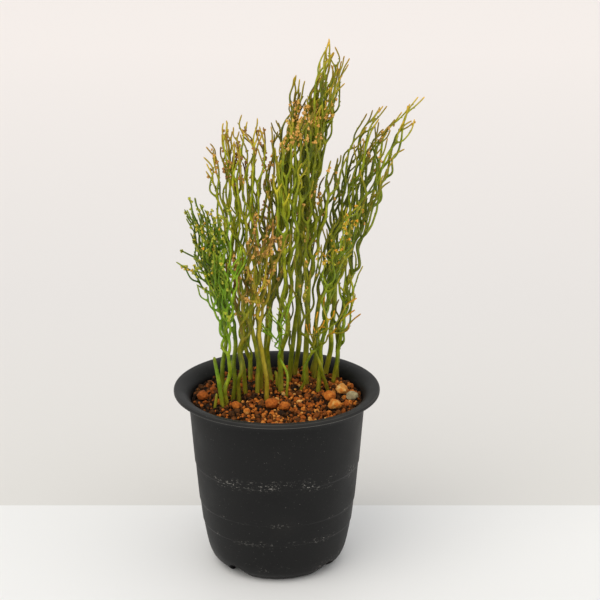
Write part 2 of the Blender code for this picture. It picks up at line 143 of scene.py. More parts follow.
def turnedPiece(name, profile, steps, material):  # a ring extruded from one (radius, height) to the next
    bpy.ops.object.select_all(action="DESELECT")
    radius, height = profile[0]
    bpy.ops.mesh.primitive_circle_add(vertices=steps, radius=radius, location=(0, 0, height))
    piece = bpy.context.object
    bpy.ops.object.transform_apply(location=True, rotation=True, scale=True)
    piece.name = piece.data.name = name
    bpy.ops.object.mode_set(mode="EDIT")
    bpy.ops.mesh.select_all(action="SELECT")
    bpy.ops.mesh.edge_face_add()
    bpy.ops.mesh.delete(type="ONLY_FACE")
    bpy.ops.mesh.select_all(action="SELECT")
    for nextRadius, nextHeight in profile[1:]:
        bpy.ops.mesh.extrude_region_move(TRANSFORM_OT_translate={"value": (0, 0, nextHeight - height)})
        share = nextRadius / radius
        bpy.ops.transform.resize(value=(share, share, 1), center_override=(0, 0, nextHeight))
        radius, height = nextRadius, nextHeight
    bpy.ops.mesh.select_all(action="DESELECT")
    bpy.ops.mesh.select_mode(type="EDGE")
    bpy.ops.mesh.select_non_manifold()
    bpy.ops.mesh.edge_face_add()
    bpy.ops.mesh.select_all(action="SELECT")
    bpy.ops.mesh.normals_make_consistent(inside=False)
    bpy.ops.object.mode_set(mode="OBJECT")
    piece.data.materials.append(material)
    return piece


def joinPieces(group, name):
    makeActive(group[0])
    for piece in group:
        piece.select_set(True)
    bpy.ops.object.join()
    piece = bpy.context.object
    piece.name = piece.data.name = name
    return piece


def setTone(piece, values):  # the shade that a material reads at each point
    tone = piece.data.attributes.new("tone", "FLOAT", "POINT")
    tone.data.foreach_set("value", np.array(values, np.float32))


def setLook(piece, values):  # four numbers a point that the stems' material reads
    tone = piece.data.color_attributes.new("tone", "FLOAT_COLOR", "POINT")
    tone.data.foreach_set("color", np.array(values, np.float32))


def finishPiece(piece, slot, *replaced):
    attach(piece, "root")
    if replaced:
        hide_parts(*replaced)


# camera, light and floor
view = {
    "place": (0.0118, -0.9315, 0.459), "tiltDown": 18.836, "lens": 117.76,
    "tableEdge": 0.0615, "tableColour": "#ebebea",
    "wallColours": ((0.07, "#dbd9d5"), (0.41, "#dddad8"), (1.3, "#eae4e1")),  # by distance back, in metres
    "skyColour": "#ffffff", "worldStrength": 0.76,
    "suns": (  # name, where it shines from, strength, softness in degrees, colour
        ("keySun", (-0.7, -0.9, 1.2), 1.3, 60, "#fffaf2"), ("fillSun", (1.0, -0.9, 0.8), 0.5, 70, "#fffdfa"),
    ),
}


def makeView():
    bpy.ops.object.camera_add(location=view["place"], rotation=(math.radians(90 - view["tiltDown"]), 0, 0))
    camera = bpy.context.object
    camera.data.lens = view["lens"]
    camera.data.sensor_width = 36
    camera.data.clip_start, camera.data.clip_end = 0.05, 60
    scene.camera = camera

    world = bpy.data.worlds.new("studio")
    scene.world = world
    world.use_nodes = True
    sky = world.node_tree.nodes["Background"]
    sky.inputs["Color"].default_value = linear(view["skyColour"])
    sky.inputs["Strength"].default_value = view["worldStrength"]
    for name, toward, strength, spread, colour in view["suns"]:
        bpy.ops.object.light_add(type="SUN", location=(0, 0, 1))
        light = bpy.context.object
        light.name = name
        light.data.energy = strength
        light.data.angle = math.radians(spread)
        light.data.color = linear(colour)[:3]
        light.rotation_euler = Vector(toward).to_track_quat("Z", "Y").to_euler()
    scene.view_settings.view_transform = "Standard"

    bpy.ops.object.select_all(action="DESELECT")
    bpy.ops.mesh.primitive_plane_add(size=40)
    floor = bpy.context.object
    floor.name = "floor"
    material, tree, surface = newMaterial("paperFloor")
    spot = addNode(tree, "TexCoord").outputs["Object"]
    depth = addNode(tree, "SeparateXYZ", {0: spot}).outputs["Y"]
    beyond = addNode(tree, "Math", {"operation": "GREATER_THAN", 0: depth, 1: view["tableEdge"]})
    far = view["wallColours"][-1][0]
    back = addNode(tree, "MapRange", {"Value": depth, "range": (0, far)})
    stops = [(distance / far, colour) for distance, colour in view["wallColours"]]
    wall = addNode(tree, "ValToRGB", {"Fac": back, "stops": stops})
    tint = addNode(tree, "Mix", {
        "data_type": "RGBA", "Factor": beyond, 6: linear(view["tableColour"]), 7: wall,
    })
    setInputs(tree, surface, {"Base Color": tint.outputs[2], "Roughness": 0.6})
    floor.data.materials.append(material)


makeView()
print("camera, lights and floor made")

# pot
pot = {
    "rimRadius": 52.5 * mm, "height": 95 * mm, "wall": 1.5 * mm,
    "lip": 2.2 * mm, "lipWidth": 1.6 * mm, "flareHeight": 8.5 * mm,
    "ledges": (23.5 * mm, 35 * mm, 55.5 * mm), "ledgeStep": 0.35 * mm,
    # height and radius in mm, without the ledges
    "wallShape": ((0, 28), (1, 29.7), (2.5, 31.4), (5, 33.9), (9, 35.6), (14, 36.7), (20, 37.8), (28, 38.8),
                  (38, 39.8), (52, 41.0), (70, 42.4), (88, 43.8)),
    "notches": (51, 141, 231, 321), "notchWidth": 14 * mm, "notchHeight": 7 * mm, "notchDepth": 16 * mm,
    "floorUnder": 6.2 * mm, "floorTop": 8 * mm, "padRadius": 8 * mm, "ringWidth": 1.8 * mm,
    "drainHole": 4 * mm, "drainPlace": 16 * mm, "steps": 96,
    "chalkAndHighlightColour": "#b4b0a9", "chalkShift": (-0.021, 0, 0), "dust": 0.022,
    # height and reach in mm, and amount
    "chalk": ((57, 4.5, 0.8), (55.4, 1.1, 1.0), (35.4, 1.6, 0.75), (24, 2.4, 0.6), (8, 4, 0.6),
              (3.5, 2, 0.7)),
    # painted highlight lines along the lip's outer edges, at the lower bead and the top: height and reach in
    # mm, and amount
    "paintedLipHighlights": ((92.95, 0.36, 0.36), (94.8, 0.3, 0.08)),
}


def wallRadius(height):
    heights, radii = zip(*pot["wallShape"])
    steps = pot["ledgeStep"] * sum(height > ledge for ledge in pot["ledges"])
    return float(np.interp(height / mm, heights, radii)) * mm + steps


def bandsAt(tree, height, rows):  # a soft band at each height, and the stronger where two meet
    mask = 0.0
    for middle, reach, amount in rows:
        off = addNode(tree, "Math", {"operation": "SUBTRACT", 0: height, 1: middle * mm})
        near = addNode(tree, "Math", {"operation": "ABSOLUTE", 0: off})
        band = addNode(tree, "MapRange", {"Value": near, "range": (reach * mm, 0, 0, amount)})
        mask = addNode(tree, "Math", {"operation": "MAXIMUM", 0: mask, 1: band})
    return mask


def makePolypropylene():
    # black polypropylene, injection moulded: satin with a very fine grain, chalky where it is scuffed, and
    # painted paler along the lip's edges as a highlight
    material, tree, surface = newMaterial("mouldedPolypropylene")
    spot = addNode(tree, "TexCoord").outputs["Object"]
    height = addNode(tree, "SeparateXYZ", {0: spot}).outputs["Z"]
    cloud = addNode(tree, "TexNoise", {"Vector": spot, "Scale": 45, "Detail": 5})  # 22 mm clouds
    plastic = addNode(tree, "ValToRGB", {
        "Fac": cloud, "stops": [(0.3, "#101010"), (0.55, "#141414"), (0.8, "#1d1c1b")],
    })
    # chalk lies along the ledges and near the foot, in broken dashes about 1.6 mm long and 0.8 mm high
    flattened = addNode(tree, "Mapping", {"Vector": spot, "Scale": (1, 1, 2)})
    dashes = addNode(tree, "TexNoise", {"Vector": flattened, "Scale": 620, "Detail": 5, "Roughness": 0.7})
    shifted = addNode(tree, "Mapping", {"Vector": spot, "Location": pot["chalkShift"]})
    patches = addNode(tree, "TexNoise", {
        "Vector": shifted, "Scale": 62, "Detail": 3, "Roughness": 0.7,  # 16 mm patches
    })
    chalk = bandsAt(tree, height, pot["chalk"])
    for texture, low, high in ((patches, 0.47, 0.6), (dashes, 0.56, 0.66)):
        mask = addNode(tree, "MapRange", {"Value": texture, "range": (low, high)})
        chalk = addNode(tree, "Math", {"operation": "MULTIPLY", 0: chalk, 1: mask})
    # painted highlights: the rim's outer edges, at the lip's top and its lower bead, are painted paler where
    # they would catch the light, and dust lies on its flare
    level = addNode(tree, "VectorMath", {"operation": "MULTIPLY", 0: spot, 1: (1, 1, 0)})
    out = addNode(tree, "VectorMath", {"operation": "LENGTH", 0: level}).outputs["Value"]
    atEdge = addNode(tree, "MapRange", {"Value": out, "range": (51 * mm, 51.8 * mm)})
    lipHighlight = addNode(tree, "Math", {
        "operation": "MULTIPLY", 0: bandsAt(tree, height, pot["paintedLipHighlights"]), 1: atEdge,
    })
    dust = addNode(tree, "MapRange", {"Value": out, "range": (45 * mm, 50 * mm, 0, pot["dust"])})
    highlightAndDust = addNode(tree, "Math", {"operation": "MAXIMUM", 0: lipHighlight, 1: dust})
    uneven = addNode(tree, "MapRange", {"Value": cloud, "range": (0.3, 0.6, 0.5, 1.1)})
    highlightAndDust = addNode(tree, "Math", {"operation": "MULTIPLY", 0: highlightAndDust, 1: uneven})
    specks = addNode(tree, "TexNoise", {"Vector": spot, "Scale": 1400, "Detail": 2})  # 0.7 mm
    speckMask = addNode(tree, "MapRange", {"Value": specks, "range": (0.7, 0.82, 0, 0.3)})
    marks = chalk
    for mask in (highlightAndDust, speckMask):
        marks = addNode(tree, "Math", {"operation": "MAXIMUM", 0: marks, 1: mask})
    # the scuffs, specks, dust and the painted edge highlights all take the pale chalk colour
    tint = addNode(tree, "Mix", {
        "data_type": "RGBA", "Factor": marks, 6: plastic, 7: linear(pot["chalkAndHighlightColour"]),
    })
    rough = addNode(tree, "MapRange", {"Value": cloud, "range": (0.3, 0.7, 0.42, 0.6)})
    grain = addNode(tree, "TexNoise", {"Vector": spot, "Scale": 1800, "Detail": 3})  # 0.5 mm grain
    bump = addNode(tree, "Bump", {"Strength": 0.25, "Distance": 0.2 * mm, "Height": grain})
    setInputs(tree, surface, {
        "Base Color": tint.outputs[2], "Roughness": rough, "Normal": bump,
        "IOR": 1.49, "Specular IOR Level": 0.18,
    })
    return material


def flareCurve(shares, low, high, neck, reach):  # an ellipse, upright at the neck and level at the rim
    angles = [share * math.pi / 2 for share in shares]
    return [(neck + reach * (1 - math.cos(angle)), low + (high - low) * math.sin(angle)) for angle in angles]


def potProfile():  # up the inside from the middle of the floor, over the rim and down to the middle below
    top, rim, wall, ringWidth, pad, floorTop, floorUnder = (
        pot[key] for key in ("height", "rimRadius", "wall", "ringWidth", "padRadius", "floorTop", "floorUnder"))
    lipUnder = top - pot["lip"]
    flare = top - pot["flareHeight"]
    neck = wallRadius(flare)
    reach = rim - pot["lipWidth"] - neck
    corner = wallRadius(floorTop)
    inside = [(1 * mm, floorTop), (12 * mm, floorTop), (24 * mm, floorTop),
              (corner - 3.2 * mm, floorTop), (corner - 1.9 * mm, floorTop + 0.9 * mm)]
    inside += [(wallRadius(z * mm) - wall, z * mm) for z in (11, 16, 22, 30, 40, 50, 60, 70, 80)]
    inside += flareCurve((0.0, 0.15, 0.3, 0.45, 0.6, 0.75, 0.88), flare, top, neck - wall, reach + wall)
    edge = [(rim - 1.3 * mm, top), (rim - 0.75 * mm, top), (rim - 0.25 * mm, top - 0.25 * mm),
            (rim, top - 0.7 * mm), (rim, lipUnder + 0.7 * mm), (rim - 0.1 * mm, lipUnder + 0.2 * mm),
            (rim - 0.5 * mm, lipUnder), (rim - 0.9 * mm, lipUnder + 0.15 * mm)]
    outside = flareCurve((0.8, 0.66, 0.52, 0.38, 0.25, 0.12, 0.0), flare, lipUnder, neck, reach)
    heights = (84, 76, 68, 62, 58, 56.2, 55.8, 55.2, 54.8, 50, 44, 39, 35.7, 35.3, 34.7, 34.3, 31, 27,
               24.2, 23.8, 23.2, 22.8, 19, 15, 11.5, 9, 7, 5, 3.6, 2.4, 1.4, 0.7, 0.25)
    outside += [(wallRadius(z * mm), z * mm) for z in heights]
    foot = wallRadius(0)
    ring = foot - ringWidth
    under = wallRadius(floorUnder) - ringWidth
    base = [(foot - 0.1 * mm, 0.05 * mm), (foot - 0.4 * mm, 0), (ring + 0.3 * mm, 0),
            (ring + 0.1 * mm, 0.3 * mm), (wallRadius(2.5 * mm) - ringWidth, 2.5 * mm),
            (under - 0.8 * mm, floorUnder - 0.3 * mm), (under - 1.6 * mm, floorUnder),
            (pad + 1.2 * mm, floorUnder), (pad + 0.7 * mm, floorUnder - 0.5 * mm),
            (pad, 0.3 * mm), (pad - 0.4 * mm, 0), (1 * mm, 0)]
    return inside + edge + outside + base


def makePot():
    piece = turnedPiece("nursery_pot", potProfile(), pot["steps"], makePolypropylene())
    applyModifier(piece, "SUBSURF", levels=1, render_levels=1)
    reach = wallRadius(0) - 1 * mm
    for turn in pot["notches"]:  # a notch in the foot ring, and a drain hole in line with it
        around = math.radians(turn)
        x, y = math.cos(around), math.sin(around)
        bpy.ops.object.select_all(action="DESELECT")
        bpy.ops.mesh.primitive_cylinder_add(
            vertices=48, radius=pot["notchWidth"] / 2, depth=pot["notchDepth"],
            location=(x * reach, y * reach, 0), rotation=(math.pi / 2, 0, around - math.pi / 2),
            scale=(1, pot["notchHeight"] / pot["notchWidth"] * 2, 1))
        notch = bpy.context.object
        bpy.ops.mesh.primitive_cylinder_add(
            vertices=32, radius=pot["drainHole"], depth=10 * mm,
            location=(x * pot["drainPlace"], y * pot["drainPlace"], pot["floorTop"]))
        hole = bpy.context.object
        for cutter in (notch, hole):
            applyModifier(piece, "BOOLEAN", operation="DIFFERENCE", solver="EXACT", object=cutter)
            bpy.data.objects.remove(cutter)
    smoothShade(piece, 40)
    finishPiece(piece, "black_plastic", "pot")


makePot()
print("pot made")

# potting mix
mix = {
    "edgeTop": 89 * mm, "crown": 1.6 * mm, "leftBackDarkening": 0.23, "seed": 11,
    "granules": 1500, "shapes": 8, "smallest": 0.75 * mm, "largest": 2.2 * mm, "mostTries": 60000,
    "largeOnes": 130, "largeSize": (1.5 * mm, 2.2 * mm), "packing": 0.72, "onTop": 0.9 * mm,
    # middle and spread of shade
    "tones": ((0.6, 0.1), (0.55, 0.12), (0.42, 0.12), (0.3, 0.1), (0.12, 0.06), (0.75, 0.08)),
}
clayStops = [(0.0, "#1a0f06"), (0.2, "#331e0a"), (0.4, "#643a14"), (0.58, "#994e18"), (0.75, "#bd6c24"),
             (0.88, "#c98f45"), (1.0, "#dcb878")]
pumiceStops = [(0.0, "#4d4534"), (0.4, "#8c8062"), (0.7, "#b3a77f"), (1.0, "#cfc6a4")]


def mixHeight(x, y):
    return mix["edgeTop"] + mix["crown"] * (1 - (x * x + y * y) / (44 * mm) ** 2)


def makeClay(name, stops, size=1.0):
    # baked clay granules, crushed and sieved: matt, porous, each its own shade
    material, tree, surface = newMaterial(name)
    spot = addNode(tree, "TexCoord").outputs["Object"]
    tone = addNode(tree, "Attribute", {"attribute_name": "tone"}).outputs["Fac"]
    mottle = addNode(tree, "TexNoise", {  # 1.4 mm clouds
        "Vector": spot, "Scale": 700 / size, "Detail": 5, "Roughness": 0.65,
    })
    shift = addNode(tree, "MapRange", {"Value": mottle, "range": (0.3, 0.7, -0.16, 0.16)})
    both = addNode(tree, "Math", {"operation": "ADD", 0: tone, 1: shift})
    shade = addNode(tree, "ValToRGB", {"Fac": both, "stops": stops})
    pores = addNode(tree, "TexNoise", {"Vector": spot, "Scale": 2200 / size, "Detail": 4})  # 0.45 mm
    bump = addNode(tree, "Bump", {"Strength": 0.6, "Distance": 0.3 * mm, "Height": pores})
    setInputs(tree, surface, {
        "Base Color": shade, "Roughness": 0.9, "Specular IOR Level": 0.2, "Normal": bump,
    })
    return material


def stoneShape(name, seed, detail, material, roughness=0.22):  # one lump, of radius about 1
    bpy.ops.object.select_all(action="DESELECT")
    bpy.ops.mesh.primitive_ico_sphere_add(subdivisions=detail, radius=1)
    piece = bpy.context.object
    piece.name = piece.data.name = name
    dice = random.Random(seed)
    shift = Vector((seed * 3.7, seed * 1.3, 0))
    cuts = [Vector(dice.gauss(0, 1) for _ in range(3)).normalized() for _ in range(7)]
    for vertex in piece.data.vertices:
        at = vertex.co.copy()
        at *= 1 + roughness * noise.noise(at * 1.1 + shift) + 0.5 * roughness * noise.noise(at * 2.6 + shift)
        for cut in cuts:  # broken faces
            over = at.dot(cut) - 0.78
            if over > 0:
                at -= cut * over * 0.8
        vertex.co = at
    piece.data.materials.append(material)
    return piece


def makeBed():
    edge = wallRadius(86 * mm) - pot["wall"]
    profile = [(max(share * (edge - 0.1 * mm), 0.8 * mm), mixHeight(share * edge, 0) - 0.7 * mm)
               for share in np.linspace(0.02, 1, 26)]
    profile += [(edge - 0.15 * mm, 87 * mm)]
    profile += [(wallRadius(z * mm) - pot["wall"] - 0.2 * mm, z * mm) for z in (80, 60, 40, 20, 11)]
    low = pot["floorTop"] + 0.3 * mm
    profile += [(wallRadius(low) - 3.6 * mm, low), (1 * mm, low)]
    material = makeClay("clayDust", clayStops[:3] + [(1.0, "#994e18")])
    piece = turnedPiece("mix_bed", profile, pot["steps"], material)
    tones = []
    for vertex in piece.data.vertices:
        at = vertex.co
        if at.z > 87.5 * mm:
            at.z += (noise.noise(at * 420) * 0.5 + noise.noise(at * 1100) * 0.3) * mm
        tones.append(0.2 + 0.2 * noise.noise(at * 900))
    setTone(piece, tones)
    smoothShade(piece, 60)
    finishPiece(piece, "potting_mix", "potting_mix")


def placeGranules(feet, dice):  # places and sizes of the granules, clear of the stems and the loose stones
    reach = wallRadius(88 * mm) - pot["wall"] - 0.6 * mm
    stones = [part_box(name) for name in frame["nodes"] if name.startswith("stone_")]
    placed = []
    for _ in range(mix["mostTries"]):
        if len(placed) == mix["granules"]:
            break
        around, share = dice.uniform(0, 2 * math.pi), math.sqrt(dice.random())
        size = mix["smallest"] + (mix["largest"] - mix["smallest"]) * dice.random() ** 1.7
        if len(placed) < mix["largeOnes"]:
            size = dice.uniform(*mix["largeSize"])
        out = share * (reach - size * 0.6)
        x, y = math.cos(around) * out, math.sin(around) * out
        if any(math.hypot(x - footX, y - footY) < radius + size * 0.75 for footX, footY, radius in feet):
            continue
        grow = 0.2 * size
        if any(low[0] - grow < x < high[0] + grow and low[1] - grow < y < high[1] + grow
               for low, high in stones):
            continue
        crowd = sum(math.hypot(x - oldX, y - oldY) < (size + old) * mix["packing"]
                    for oldX, oldY, _, old in placed)
        if crowd > 0 and not (crowd < 2 and size < 1.0 * mm and dice.random() < 0.15):
            continue
        lift = dice.uniform(-0.45, 0.35) * size + (mix["onTop"] if crowd else 0)
        placed.append((x, y, mixHeight(x, y) + lift, size))
    return placed


def makeGranules(feet):
    dice = random.Random(mix["seed"])
    material = makeClay("bakedClay", clayStops)
    shapes = [stoneShape(f"granuleShape{i}", 20 + i, 2, material) for i in range(mix["shapes"])]
    groups = [[], [], []]
    for number, (x, y, z, size) in enumerate(placeGranules(feet, dice)):
        shape = shapes[number % len(shapes)].data.copy()
        turn = Euler([dice.uniform(0, 2 * math.pi) for _ in range(3)]).to_matrix().to_4x4()
        stretch = [size * dice.uniform(low, high) for low, high in ((0.85, 1.15), (0.75, 1.0), (0.7, 0.95))]
        shape.transform(Matrix.Translation((x, y, z)) @ turn @ Matrix.Diagonal((*stretch, 1)))
        copy = bpy.data.objects.new(f"granule{number}", shape)
        scene.collection.objects.link(copy)
        middle, spread = dice.choice(mix["tones"])
        leftBackShare = min(max((0.3 * y - x + 2 * mm) / (40 * mm), 0), 1)  # darker towards the left and back
        tone = dice.gauss(middle, spread) - mix["leftBackDarkening"] * leftBackShare
        setTone(copy, [min(max(tone, 0.02), 0.98)] * len(shape.vertices))
        groups[number % len(groups)].append(copy)
    for shape in shapes:
        bpy.data.objects.remove(shape)
    for number, group in enumerate(groups):
        piece = joinPieces(group, f"clay_granules_{number + 1}")
        smoothShade(piece, 50)
        finishPiece(piece, "potting_mix")


stoneSink = 0.6 * mm  # each lies a little between the granules
looseStones = {  # node: tone, shape seed
    "stone_red": (0.6, 3), "stone_red_front": (0.64, 4), "stone_orange_back": (0.72, 5),
    "stone_tan": (0.86, 6), "stone_orange_front": (0.8, 7), "stone_grey": (0.5, 8),
    "stone_far_left": (0.55, 9), "stone_front": (0.66, 10),
}


def makeStones():
    clay = makeClay("bakedClayLump", clayStops, 1.6)
    pale = makeClay("pumice", pumiceStops, 1.6)
    for node, (tone, seed) in looseStones.items():
        piece = stoneShape("loose_" + node, seed, 4, pale if node == "stone_grey" else clay, 0.25)
        points = np.array([v.co for v in piece.data.vertices])
        low, high = (np.array(corner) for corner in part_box(node))
        span = points.max(0) - points.min(0)
        points = (points - points.min(0)) / span * (high - low) + low
        points[:, 2] -= stoneSink
        for vertex, point in zip(piece.data.vertices, points):
            vertex.co = point
        setTone(piece, [tone] * len(points))
        smoothShade(piece)
        finishPiece(piece, "pale_stone" if node == "stone_grey" else "baked_clay", node)


# how the stems fork
growth = {
    "tipRadius": 0.38 * mm, "thinning": 0.84, "halfAngle": 26, "firstPoint": 5.5 * mm, "rooted": 5 * mm,
    "spacing": 2.3 * mm, "pushRounds": 20, "clearance": 0.25 * mm, "forkReach": 9 * mm, "footShare": 0.94,
    "trunkPoints": (0.0, 0.3, 0.52, 0.78), "trunkSway": 1.7 * mm, "trunkTaper": 0.84,
    "sidesEvery": 2, "sidesFrom": 120, "sideTips": 4, "sideRadius": 0.6 * mm,
    "sideReach": (20 * mm, 52 * mm), "sideSpread": 10 * mm, "twigLeast": 9 * mm, "twigStep": 4 * mm,
    "orangeTips": {"stem_low_spreading": 3.0, "stem_right_main": 1.35, "stem_right_outer": 1.35,
                   "stem_right_inner": 1.35, "stem_top_front": 1.3, "stem_top_back": 1.3},
    "amber": {"stem_amber": 0.7, "stem_inner_left": 0.3, "stem_light_thick": 0.3},
}
# name: first fork, lowest and highest places of the tips, their scatter and number, radius at the foot (mm),
# and the look: dryness, brightness, waviness, spore cases and their tone
stems = {
    "stem_left_outer": ((-26, 9, 126), (-42, 4, 162), (-35, 2, 192), 7, 34, 1.25, 0.0, 1.0, 1.1, 130, 0.74),
    "stem_left_front": ((-21, -9, 128), (-40, -14, 163), (-30, -12, 194), 7, 32, 1.3, 0.05, 1.0, 1.1, 95, 0.76),
    "stem_left_low": ((-24, -15, 118), (-33, -22, 156), (-20, -22, 180), 6, 30, 1.2, 0.0, 1.0, 1.2, 14, 0.74),
    "stem_dry_front": ((-17, -11, 124), (-22, -20, 158), (-6, -16, 190), 6, 14, 1.2, 0.7, 0.0, 1.3, 44, 0.34),
    "stem_brown_left": ((-18, 3, 132), (-31, 2, 212), (-20, 4, 236), 5, 14, 1.25, 0.7, 0.0, 1.1, 46, 0.27),
    "stem_brown_right": ((-12, 4, 140), (-18, 6, 212), (-9, 5, 234), 5, 12, 1.25, 0.6, 0.0, 1.1, 34, 0.27),
    "stem_inner_left": ((-9, 10, 138), (-14, 16, 172), (-2, 12, 204), 6, 10, 1.2, 0.4, 0.0, 1.0, 24, 0.35),
    "stem_amber": ((-8, -9, 134), (-15, -15, 152), (4, -13, 182), 6, 12, 1.25, 0.45, 0.0, 1.1, 44, 0.35),
    "stem_back_tall": ((-1, 34, 152), (4, 33, 215), (12, 28, 252), 5, 15, 1.6, 0.15, 0.0, 0.8, 24, 0.42),
    "stem_centre": ((5, 3, 134), (4, 0, 200), (18, 4, 240), 7, 24, 1.55, 0.1, 0.2, 0.9, 60, 0.42),
    "stem_top_front": ((11, 18, 152), (19, 16, 230), (32, 14, 272), 5, 25, 1.45, 0.1, 0.15, 0.8, 40, 0.45),
    "stem_back_middle": ((13, 41, 138), (12, 42, 205), (22, 38, 246), 5, 13, 1.3, 0.2, 0.0, 0.8, 14, 0.42),
    "stem_low_spreading": ((18, 1, 113), (14, -14, 131), (41, -10, 144), 8, 13, 0.85, 0.0, 0.5, 1.3, 0, 0.9),
    "stem_right_main": ((22, 24, 134), (30, 25, 200), (54, 22, 240), 6, 12, 1.4, 0.1, 0.25, 1.1, 9, 0.42),
    "stem_right_middle": ((24, 1, 132), (27, -6, 162), (42, -2, 192), 7, 24, 1.3, 0.0, 0.5, 1.0, 34, 0.92),
    "stem_grey_leaning": ((15, 0, 122), (8, -6, 150), (20, -8, 182), 5, 8, 1.0, 0.15, 0.1, 1.0, 8, 0.6),
    "stem_right_curly": ((35, 17, 128), (33, 14, 146), (40, 18, 160), 3, 6, 1.1, 0.0, 0.4, 1.4, 0, 0.5),
    "stem_right_outer": ((30, 32, 140), (54, 30, 204), (65, 28, 240), 6, 11, 1.5, 0.1, 0.25, 1.1, 9, 0.42),
    "stem_light_thick": ((16, 10, 149), (12, 8, 178), (28, 8, 214), 6, 16, 1.6, 0.1, 0.35, 0.8, 30, 0.4),
    "stem_back_centre": ((2, 32, 128), (-1, 38, 192), (12, 42, 224), 6, 11, 1.3, 0.2, 0.1, 0.8, 14, 0.4),
    "stem_back_left": ((-17, 25, 122), (-28, 30, 168), (-14, 28, 198), 6, 12, 1.25, 0.15, 0.5, 1.0, 16, 0.6),
    "stem_back_right": ((25, 40, 124), (34, 42, 172), (48, 40, 204), 6, 15, 1.3, 0.0, 0.4, 1.1, 10, 0.6),
    "stem_dark_tip": ((-4, 20, 132), (-9, 20, 200), (-3, 20, 228), 4, 7, 1.15, 0.45, 0.0, 1.0, 10, 0.3),
    "stem_top_back": ((12, 28, 158), (15, 26, 226), (31, 22, 263), 5, 20, 1.35, 0.1, 0.1, 0.8, 34, 0.42),
    "stem_right_inner": ((34, 19, 132), (42, 14, 190), (57, 14, 232), 7, 11, 1.3, 0.1, 0.3, 1.1, 9, 0.42),
    "stem_curled_young": ((2, -6, 117), (-10, -9, 129), (8, -8, 146), 4, 16, 0.75, 0.0, 0.95, 3.4, 0, 0.7),
}
shoots = {  # name: tip, radius at the foot (mm), brightness
    "shoot_bright": ((-31, -16, 117), 1.1, 1.0),
    "shoot_left_stub": ((-30, -15, 97), 0.8, 0.8),
    "shoot_middle_stub": ((-1, 12, 99), 0.8, 0.9),
    "shoot_right_stub": ((14, 19, 98), 0.9, 1.0),
}


class Tree:  # points, a radius at each, and each point's following points
    def __init__(self):
        self.points, self.radii, self.following = [], [], []

    def add(self, point, radius, before=None):
        self.points.append(np.array(point, float))
        self.radii.append(radius)
        self.following.append([])
        if before is not None:
            self.following[before].append(len(self.points) - 1)
        return len(self.points) - 1


def wander(dice, *spreads):  # a random vector, with no draw where the spread is 0
    return np.array([dice.gauss(0, spread) if spread else 0 for spread in spreads])


def unit(vector):
    return vector / max(np.linalg.norm(vector), 1e-12)


def square(vector, heading):  # the part of vector that is square to heading, as a unit vector
    return unit(vector - heading * (vector @ heading))


def scatterTips(low, high, scatter, count, dice):
    tips = []
    for i in range(count):
        share = min(max((i + dice.uniform(-0.4, 0.4)) / (count - 1), 0), 1)
        spot = low + (high - low) * share
        spot += np.array([dice.uniform(-1, 1), dice.uniform(-1, 1), dice.uniform(-0.5, 0.5)]) * scatter
        tips.append(spot)
    return tips


def splitTips(tips, heading, lastSide):
    spots = np.array(tips)
    offsets = spots - spots.mean(0)
    offsets -= np.outer(offsets @ heading, heading)
    across = unit(np.linalg.svd(offsets, full_matrices=False)[2][0])
    if lastSide is not None and len(tips) < 4:
        across = unit(np.cross(heading, lastSide))
    across = square(across, heading)
    order = np.argsort(spots @ across, kind="stable")
    half = len(tips) // 2
    return [tips[i] for i in order[:half]], [tips[i] for i in order[half:]], across


def growBranch(tree, start, heading, side, tips, radius, dice, outward):
    origin = tree.points[start]
    reach = np.mean(tips, axis=0) - origin
    last = len(tips) == 1
    share = 1 if last else 0.82 / (math.log2(len(tips)) + 1) * dice.uniform(0.8, 1.2)
    end = tips[0] if last else origin + reach * share
    endRadius = growth["tipRadius"] if last else radius * 0.95
    angle = math.radians(growth["halfAngle"] + dice.uniform(-4, 8))
    first = min(growth["firstPoint"], 0.45 * np.linalg.norm(end - origin))
    away = unit(unit(reach) + 0.6 * heading) * math.cos(angle) + side * math.sin(angle)
    start = tree.add(origin + unit(away) * first, radius * 0.97, start)
    begin = tree.points[start]
    along = np.linalg.norm(end - begin)
    if along > 10 * mm:
        lean = unit(unit(end - begin) + (0, 0, 0.2) + outward + wander(dice, 0.18, 0.18, 0.18))
        middle = end - lean * 0.45 * along
        start = tree.add(middle, radius + (endRadius - radius) * 0.55, start)
    before = tree.points[start]
    node = tree.add(end, endRadius, start)
    if not last:
        onward = unit(end - before)
        left, right, across = splitTips(tips, onward, side)
        for group, way in ((left, -1), (right, 1)):
            growBranch(tree, node, onward, across * way, group, radius * growth["thinning"], dice, outward)


def footOf(node):  # the middle of the CAD stem's lowest ring
    points = np.array([v.co for v in frame["nodes"][node].data.vertices])
    low = points[points[:, 2] < points[:, 2].min() + 0.5 * mm]
    return (low.max(0) + low.min(0)) / 2


